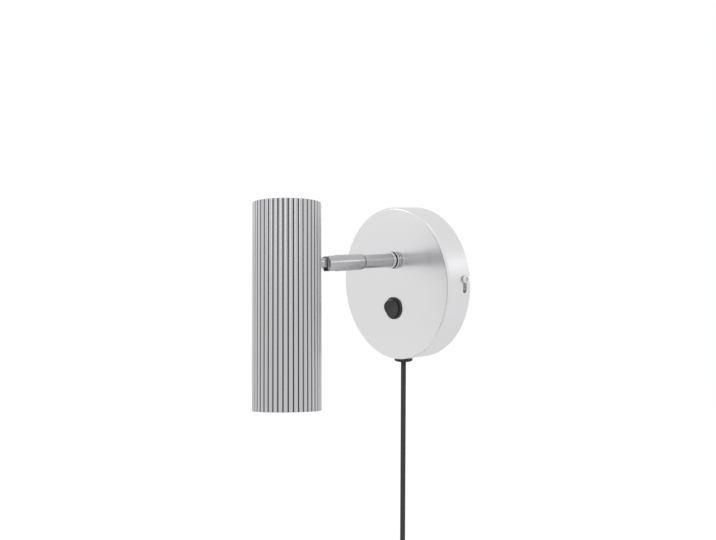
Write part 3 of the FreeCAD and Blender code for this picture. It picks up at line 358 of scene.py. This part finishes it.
cap = Finish("cap_aluminium", Metallic=1.0, Base_Color=(0.74, 0.74, 0.75, 1))
cx, cy, cz = head_place(cap)
cap_radius = (cx * cx + cy * cy) ** 0.5
turned_lines = cap.lines(cap_radius - cz, 5200.0)
cap.plug("Roughness", 0.30 + 0.12 * (turned_lines - 0.5))
cap.relief(turned_lines, 0.00002, 0.4)
dress(cap, "top_cap")


# %% [markdown]
# ## Brushed plate
# The plate is spun and brushed on a lathe, so its lines are circles on the face and run round the
# rim. One distance serves both: the radius grows over the face and the depth over the rim. The
# rim's brushing is coarser, so it is rougher than the face.

# %% Plate finish
RIM_EDGE = (70.8 * MM, 72.2 * MM)
plate = Finish("brushed_plate", Metallic=1.0)
px = plate.place.along((1, 0, 0))
py = plate.place.along((0, 1, 0))
pz = plate.place.along((0, 0, 1))
plate_radius = (px * px + pz * pz) ** 0.5
ring = plate_radius - py
fine = plate.lines(ring, 6500.0, detail=5.0)
broad = plate.lines(ring, 420.0, detail=2.0)
angle = px.maths("ARCTAN2", pz)
sweep = plate.noise(combine(plate_radius * 220.0, py * 220.0, angle * 0.9), 1.0, detail=2.0)
plate.plug("Base Color", broad.between((0.70, 0.70, 0.71, 1), (0.72, 0.72, 0.73, 1)))
rim = plate_radius.mask(*RIM_EDGE)
plate.plug("Roughness", 0.23 + 0.19 * rim + 0.08 * (fine - 0.5) + 0.06 * (sweep - 0.5))
plate.relief(fine * 0.7 + sweep * 0.3, 0.00002, 0.12)
dress(plate, "wall_plate")


# %% [markdown]
# ## Turned steel and plated screws
# The arm is turned bar: its lines run round it, so they vary only along the arm. The barrel is
# darker than the rod that it slides over. A dark line of painted shade marks the step between
# them,
# and the collar has two: in its neck and at its foot. Screws and nuts are plated, with a soft
# mottle.

# %% Arm finishes
STEP_LINE = ((-69.8 * MM, -69.6 * MM), (-68.8 * MM, -68.3 * MM))
ROD_START = (-69.0 * MM, -68.6 * MM)
NECK_LINE = ((-31.9 * MM, -31.6 * MM), (-30.5 * MM, -30.2 * MM))
FOOT_LINE = (-28.6 * MM, -28.1 * MM)


def band(along, line):
    """1 between a line's two soft edges, and 0 outside them."""
    start, end = line
    return along.mask(*start) * (1.0 - along.mask(*end))


arm = Finish("turned_steel", Metallic=1.0)
ay = arm.place.along((0, 1, 0))
arm_lines = arm.lines(ay, 9000.0, detail=4.0)
arm_cloud = arm.noise(arm.place, 180.0)
# Painted shade: a near-black line at the step where the rod goes into the barrel.
painted_step_shade = band(ay, STEP_LINE)
rod_part = ay.mask(*ROD_START)
arm_low = rod_part.between((0.40, 0.40, 0.41, 1), (0.46, 0.46, 0.47, 1))
arm_high = rod_part.between((0.46, 0.46, 0.47, 1), (0.54, 0.54, 0.55, 1))
arm_tone = arm_cloud.between(arm_low, arm_high)
arm.plug("Base Color", painted_step_shade.between(arm_tone, (0.035, 0.035, 0.035, 1)))
arm.plug("Roughness", 0.22 + 0.12 * rod_part + 0.10 * (arm_lines - 0.5))
arm.relief(arm_lines, 0.00002, 0.3)
dress(arm, "arm_rod", "joint_barrel", "knuckle", "pivot_pins")

collar = Finish("polished_collar", Metallic=1.0)
collar_y = collar.place.along((0, 1, 0))
collar_lines = collar.lines(collar_y, 7000.0)
# Painted shade: near-black lines in the collar's neck and at its foot against the plate.
painted_neck_shade = band(collar_y, NECK_LINE)
painted_foot_shade = collar_y.mask(*FOOT_LINE)
collar_tone = collar_lines.between((0.56, 0.56, 0.57, 1), (0.64, 0.64, 0.65, 1))
collar_painted_shade = painted_neck_shade.maths("MAXIMUM", painted_foot_shade)
collar.plug("Base Color", collar_painted_shade.between(collar_tone, (0.02, 0.02, 0.02, 1)))
collar.plug("Roughness", 0.16 + 0.08 * collar_lines)
dress(collar, "arm_collar")


def plated(name, dark, light, roughness, size):
    """Plated steel: two near tones in a soft mottle, with the same mottle in its gloss."""
    finish = Finish(name, Metallic=1.0)
    mottle = finish.noise(finish.place, size)
    fine_grain = finish.noise(finish.place, size * 9.0)
    finish.plug("Base Color", mottle.between(dark + (1,), light + (1,)))
    finish.plug("Roughness", roughness + 0.14 * (mottle - 0.5) + 0.06 * (fine_grain - 0.5))
    finish.relief(fine_grain, 0.00001, 0.3)
    return finish


nickel = plated("nickel_screw", (0.62, 0.61, 0.59), (0.72, 0.71, 0.69), 0.24, 300.0)
zinc = plated("zinc_steel", (0.50, 0.51, 0.52), (0.66, 0.67, 0.68), 0.42, 220.0)
spring = plated("oiled_spring_steel", (0.22, 0.22, 0.23), (0.32, 0.32, 0.33), 0.35, 260.0)
contact = plated("bright_contact", (0.70, 0.69, 0.66), (0.78, 0.77, 0.74), 0.18, 240.0)
brass = plated("terminal_brass", (0.62, 0.46, 0.18), (0.76, 0.60, 0.28), 0.30, 260.0)
dress(nickel, "side_screws", "holder_screws", "block_screw", "terminal_screws")
dress(zinc, "wall_bracket", "arm_backing_plate", "holder_bracket", "stud_nut", "arm_nut")
dress(spring, "arm_lock_washer", "barrel_circlip", "turn_stop_pin")
dress(contact, "lamp_pins", "plug_pins", "switch_terminals")
dress(brass, "terminal_inserts")


# %% [markdown]
# ## Mouldings
# Plastic parts differ in how their moulds were finished: a satin switch, a sparked grain on the
# plug, a smooth white lamp. Two noises give the grain, one for its relief and one for its gloss.

# %% Plastic finishes
def moulded(name, colour, roughness, grain_size, depth, spread=0.12):
    """Moulded plastic: an even colour with a little drift, and a fine spark-eroded grain."""
    finish = Finish(name)
    drift = finish.noise(finish.place, 45.0)
    mould_grain = finish.noise(finish.place, grain_size, detail=2.0)
    darker = tuple(c * (1 - spread) for c in colour) + (1,)
    lighter = tuple(min(c * (1 + spread), 1) for c in colour) + (1,)
    finish.plug("Base Color", drift.between(darker, lighter))
    finish.plug("Roughness", roughness + 0.10 * (mould_grain - 0.5))
    finish.relief(mould_grain, depth, 0.5)
    return finish


switch = moulded("satin_black_switch", (0.014, 0.014, 0.015), 0.30, 2600.0, 0.00002)
gland = moulded("black_gland", (0.016, 0.016, 0.016), 0.48, 1800.0, 0.00004)
plug_skin = moulded("grained_plug", (0.018, 0.018, 0.018), 0.50, 2000.0, 0.00005)
rubbery = moulded("matt_rubber", (0.016, 0.016, 0.016), 0.62, 1500.0, 0.00004)
trim = moulded("black_glare_ring", (0.010, 0.010, 0.010), 0.70, 2200.0, 0.00003)
sheath = moulded("smooth_sheath", (0.030, 0.030, 0.030), 0.45, 900.0, 0.00002)
white_body = moulded("white_lamp_housing", (0.80, 0.80, 0.79), 0.32, 700.0, 0.00001, 0.03)
glazed = moulded("glazed_ceramic", (0.82, 0.80, 0.76), 0.18, 260.0, 0.00003, 0.04)
connector = moulded("clear_white_block", (0.78, 0.77, 0.72), 0.35, 800.0, 0.00002, 0.05)
washer = moulded("friction_polymer", (0.55, 0.52, 0.46), 0.40, 1200.0, 0.00002)
dress(switch, "switch_body", "switch_rocker")
dress(gland, "cord_gland", "gland_nut")
dress(plug_skin, "plug_body")
dress(rubbery, "plug_boot")
dress(trim, "glare_ring")
dress(sheath, "inner_cord")
dress(white_body, "lamp_body")
dress(glazed, "lampholder")
dress(connector, "terminal_block")
dress(washer, "friction_washers")


# %% [markdown]
# ## Two cores
# Each pair of leads is one brown and one blue. They lie side by side, so a mask on the distance
# across the arm parts the two colours.

# %% Lead finish
CORE_BLEND = 0.1 * MM


def cores(name, across, middle):
    """Brown on one side of a plane, blue on the other, in glossy insulation."""
    finish = Finish(name)
    side = finish.place.along(across).mask(middle - CORE_BLEND, middle + CORE_BLEND)
    streak = finish.noise(finish.place, 500.0)
    finish.plug("Base Color", side.between((0.16, 0.060, 0.022, 1), (0.03, 0.10, 0.34, 1)))
    finish.plug("Roughness", 0.32 + 0.10 * streak)
    return finish


dress(cores("supply_cores", (0.45, 0.9, 0.0), -11.8 * MM), "supply_leads")
dress(cores("switch_cores", (0.0, 0.0, 1.0), -20.5 * MM), "switch_leads")
dress(cores("lamp_cores", (1.0, 0.0, 0.0), 0.0), "lamp_leads")
head_middle = float(np.dot(head_turn[:, 0], pivot))
dress(cores("head_cores", head_x, head_middle), "head_leads")


# %% [markdown]
# ## Lens
# The lamp's front is a moulded lens: a shallow dome with rings of small ripples that spread the
# light. A solid shows it as a flat disc. Here a surface of revolution, radius by angle, gets a
# dome and a ripple, and stands inside the disc it replaces.

# %% Lens
LENS_RADIUS = 22.4 * MM
LENS_FRONT = -100.1 * MM
LENS_SETBACK = 1.7 * MM
DOME_HEIGHT = 0.35 * MM
RIPPLE_HEIGHT = 0.10 * MM
LENS_EDGE = 0.5 * MM
CENTRE_SHARE = 0.01
RIPPLE_RINGS = 12
RIPPLE_SPOKES = 24
LENS_GRID = (56, 96)


def lens_surface(rings, spokes):
    """Height = dome (1 - s^2) + ripple cos(12 pi s) cos(24 a), with s the share of the radius."""
    s = np.linspace(0.004, 1.0, rings)[:, None]
    a = np.linspace(0, 2 * np.pi, spokes, endpoint=False)[None, :]
    fade = np.clip((1 - s) * 6, 0, 1) * np.clip(s * 8, 0, 1)
    waves = np.cos(RIPPLE_RINGS * np.pi * s) * np.cos(RIPPLE_SPOKES * a)
    drop = DOME_HEIGHT * (1 - s ** 2) + RIPPLE_HEIGHT * fade * waves
    x = LENS_RADIUS * s * np.cos(a)
    y = LENS_RADIUS * s * np.sin(a)
    z = (LENS_FRONT + LENS_SETBACK) - drop
    return np.stack([x, y + tube_axis_y, z], axis=-1)


def on_head(points):
    """From the head's own axes to the room's."""
    return points @ head_turn.T + pivot


lens_points = lens_surface(*LENS_GRID)
rim_back = lens_points[-1:].copy()
rim_back[..., 2] += LENS_EDGE
flat_back = rim_back.copy()
flat_back[..., 0] *= CENTRE_SHARE
flat_back[..., 1] = (flat_back[..., 1] - tube_axis_y) * CENTRE_SHARE + tube_axis_y
lens_points = np.concatenate([lens_points, rim_back, flat_back])[:, ::-1]
lens = grid_piece("lamp_lens_rippled", on_head(lens_points), around=True)
lens_finish = Finish("frosted_lens", Roughness=0.16, IOR=1.49)
frost = lens_finish.noise(lens_finish.place, 900.0)
lens_finish.plug("Base Color", frost.between((0.74, 0.74, 0.72, 1), (0.86, 0.86, 0.84, 1)))
lens_finish.relief(frost, 0.00004, 0.5)
lens.data.materials.append(lens_finish.material)
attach(lens, "lamp_head")
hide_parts("lamp_lens")
dress(lens_finish, "lamp_lens")
print("lens has", len(lens.data.polygons), "faces")


# %% [markdown]
# ## The cord's line
# The cord leaves the gland straight down, as its own weight pulls it, and below the picture it is
# wound into a round coil for the shelf. Its line is a smooth spline through a few points: long
# gaps where it hangs, and many for each turn of the coil.

# %% Cord route
CORD_RADIUS = 2.5 * MM
CORD_DEPTH = -14.9
COIL_HEIGHT = -328.0
INNER_TURN = 22.5
TURN_STEP = 3.25
LAYER_STEP = 6.2
LAYER_HALF_TURNS = (4, 4, 4, 5)
POINTS_PER_TURN = 16
ROUNDING = 0.981
ENTRY_ANGLE = 40.0
ENTRY_RADIUS = 36.1
ENTRY_POINT = (13.2, -5.6, -292.0)
HANGING_HEIGHTS = (-110, -150, -190, -230, -258, -274.8)
TAIL_DROPS = (2, 20)
GLAND_MOUTH = -75.9
COIL_FRONT = CORD_DEPTH + 1.5 * LAYER_STEP
COIL_START = 90.0
HALF_TURN = 180.0

hanging = [(0, CORD_DEPTH, z) for z in (GLAND_MOUTH,) + HANGING_HEIGHTS]


def coil_route():
    """Radius falls or grows by one step each half turn; depth moves only in a climbing one."""
    halves = []
    inward = True
    place = INNER_TURN + LAYER_HALF_TURNS[0] * TURN_STEP
    depth = COIL_FRONT
    for layer, count in enumerate(LAYER_HALF_TURNS):
        for _ in range(count):
            change = -TURN_STEP if inward else TURN_STEP
            halves.append((place, place + change, depth, depth))
            place += change
        if layer < len(LAYER_HALF_TURNS) - 1:
            halves.append((place, place, depth, depth - LAYER_STEP))
            depth -= LAYER_STEP
        inward = not inward
    halves = np.array(halves)
    step = 360.0 / POINTS_PER_TURN
    lead_in = np.arange(ENTRY_ANGLE, COIL_START, step)
    lead_span = [ENTRY_ANGLE, COIL_START]
    lead_radius = np.interp(lead_in, lead_span, [ENTRY_RADIUS, halves[0][0]])
    steps = np.arange(0, len(halves), step / HALF_TURN)
    which = steps.astype(int)
    share = steps - which
    chosen = halves[which]
    radius = chosen[:, 0] + (chosen[:, 1] - chosen[:, 0]) * share
    swing = (1 - np.cos(np.pi * share)) / 2
    deep = chosen[:, 2] + (chosen[:, 3] - chosen[:, 2]) * swing
    clock = np.radians(np.concatenate([lead_in, COIL_START + steps * HALF_TURN]))
    radius = np.concatenate([lead_radius, radius]) / ROUNDING
    deep = np.concatenate([np.full(len(lead_in), COIL_FRONT), deep])
    across = radius * np.sin(clock)
    up = COIL_HEIGHT + radius * np.cos(clock)
    return np.stack([across, deep, up], axis=-1), place, depth


def length_gone(points):
    """The length walked along a line of points, at each of them."""
    steps = np.linalg.norm(np.diff(points, axis=0), axis=1)
    return np.concatenate([[0], np.cumsum(steps)])


coil_points, end_across, end_depth = coil_route()
tail = [(end_across, end_depth, COIL_HEIGHT - drop) for drop in TAIL_DROPS]
route = np.concatenate([hanging, [ENTRY_POINT], coil_points, tail]) * MM
line_data = bpy.data.curves.new("cord_line", "CURVE")
line_data.dimensions = "3D"
line_data.resolution_u = 6
spline = line_data.splines.new("NURBS")
spline.points.add(len(route) - 1)
weights = np.ones((len(route), 1))
spline.points.foreach_set("co", np.hstack([route, weights]).astype(np.float32).reshape(-1))
spline.order_u = 3
spline.use_endpoint_u = True
line_object = bpy.data.objects.new("cord_line", line_data)
scene.collection.objects.link(line_object)
bpy.context.view_layer.update()
line_mesh = bpy.data.meshes.new_from_object(line_object)
path = np.empty(len(line_mesh.vertices) * 3, np.float32)
line_mesh.vertices.foreach_get("co", path)
path = path.reshape(-1, 3).astype(float)
if np.linalg.norm(path[0] - route[0]) > np.linalg.norm(path[-1] - route[0]):
    path = path[::-1]
bpy.data.objects.remove(line_object)


# %% [markdown]
# ## The braid
# A textile cord is a plait of fine yarn over round cores. The tube is carried along the line, with
# its side kept square to the arm's direction so that it never twists. Two families of slanting
# yarns cross in the relief, and where they meet the higher one shows.

# %% Cord tube
def tube_along(centres, radius, sides):
    """Centre line + radius (side cos a + other sin a), the side made square to the line."""
    ahead = np.gradient(centres, axis=0)
    ahead /= np.linalg.norm(ahead, axis=1, keepdims=True)
    side = np.array([0.0, 1.0, 0.0]) - ahead * ahead[:, 1:2]
    side /= np.linalg.norm(side, axis=1, keepdims=True)
    other = np.cross(ahead, side)
    a = np.linspace(0, 2 * np.pi, sides, endpoint=False)[None, :, None]
    rim = centres[:, None] + radius * (side[:, None] * np.cos(a) + other[:, None] * np.sin(a))
    share = np.linspace(0, 1, sides + 1)
    uv = np.stack(np.meshgrid(share, length_gone(centres)), axis=-1)
    return rim, uv


def even_path(centres, spacing):
    """The same line with its points at even distances."""
    gone = length_gone(centres)
    wanted = np.linspace(0, gone[-1], int(gone[-1] / spacing) + 1)
    return np.stack([np.interp(wanted, gone, centres[:, k]) for k in range(3)], axis=-1)


CORD_SPACING = 2.0 * MM
CORD_SIDES = 20
cord_path = even_path(path, CORD_SPACING)
cord_rim, cord_uv = tube_along(cord_path, CORD_RADIUS, CORD_SIDES)
cord = grid_piece("textile_cord", cord_rim, around=True, uv=cord_uv)

braid = Finish("textile_braid", Roughness=0.85)
round_share = braid.uv.along((1, 0, 0))
length_along = braid.uv.along((0, 1, 0))
YARNS = 12
LAY = 9.0 * MM
first = (round_share * YARNS + length_along * (YARNS / LAY) * 0.5) * (2 * np.pi)
second = (round_share * YARNS - length_along * (YARNS / LAY) * 0.5) * (2 * np.pi)
first_yarn = first.maths("COSINE") * 0.5 + 0.5
second_yarn = second.maths("COSINE") * 0.5 + 0.5
plait = first_yarn.maths("MAXIMUM", second_yarn)
fuzz = braid.noise(braid.place, 3500.0, detail=2.0)
patch = braid.noise(braid.place, 90.0)
yarn_tone = (plait * 0.75 + fuzz * 0.25) * (0.8 + 0.4 * patch)
braid.plug("Base Color", yarn_tone.between((0.022, 0.022, 0.023, 1), (0.120, 0.120, 0.124, 1)))
braid.relief(plait * 0.8 + fuzz * 0.2, 0.00016, 0.9)
cord.data.materials.append(braid.material)
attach(cord, "wall_base")
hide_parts("mains_cord", "cord_coil")
dress(braid, "mains_cord", "cord_coil")
print("cord tube has", len(cord.data.polygons), "faces")


# %% [markdown]
# ## The tie
# A strap of woven tape holds the coil. Its weave is plain: warp one way, weft the other, each a
# wave, so their product is the small checks of cloth.

# %% Tie finish
WEAVE_PITCH = 1.1 * MM
tie = Finish("woven_strap", Roughness=0.9)
tx = tie.place.along((0.91, 0.0, -0.41))
ty = tie.place.along((0.0, 1.0, 0.0))
tz = tie.place.along((0.41, 0.0, 0.91))
weave = 2 * np.pi / WEAVE_PITCH
warp = (tx * weave).maths("SINE")
weft = ((ty + tz) * weave).maths("SINE")
checks = warp * weft * 0.5 + 0.5
tie.plug("Base Color", checks.between((0.010, 0.010, 0.010, 1), (0.035, 0.035, 0.036, 1)))
tie.relief(checks, 0.0001, 0.8)
dress(tie, "cord_tie")


# %% [markdown]
# ## Check and finish
# Every node must wear a finish.

# %% Finish
bare = [name for name, node in nodes.items() if not node.data.materials]
print("nodes without a finish:", bare)
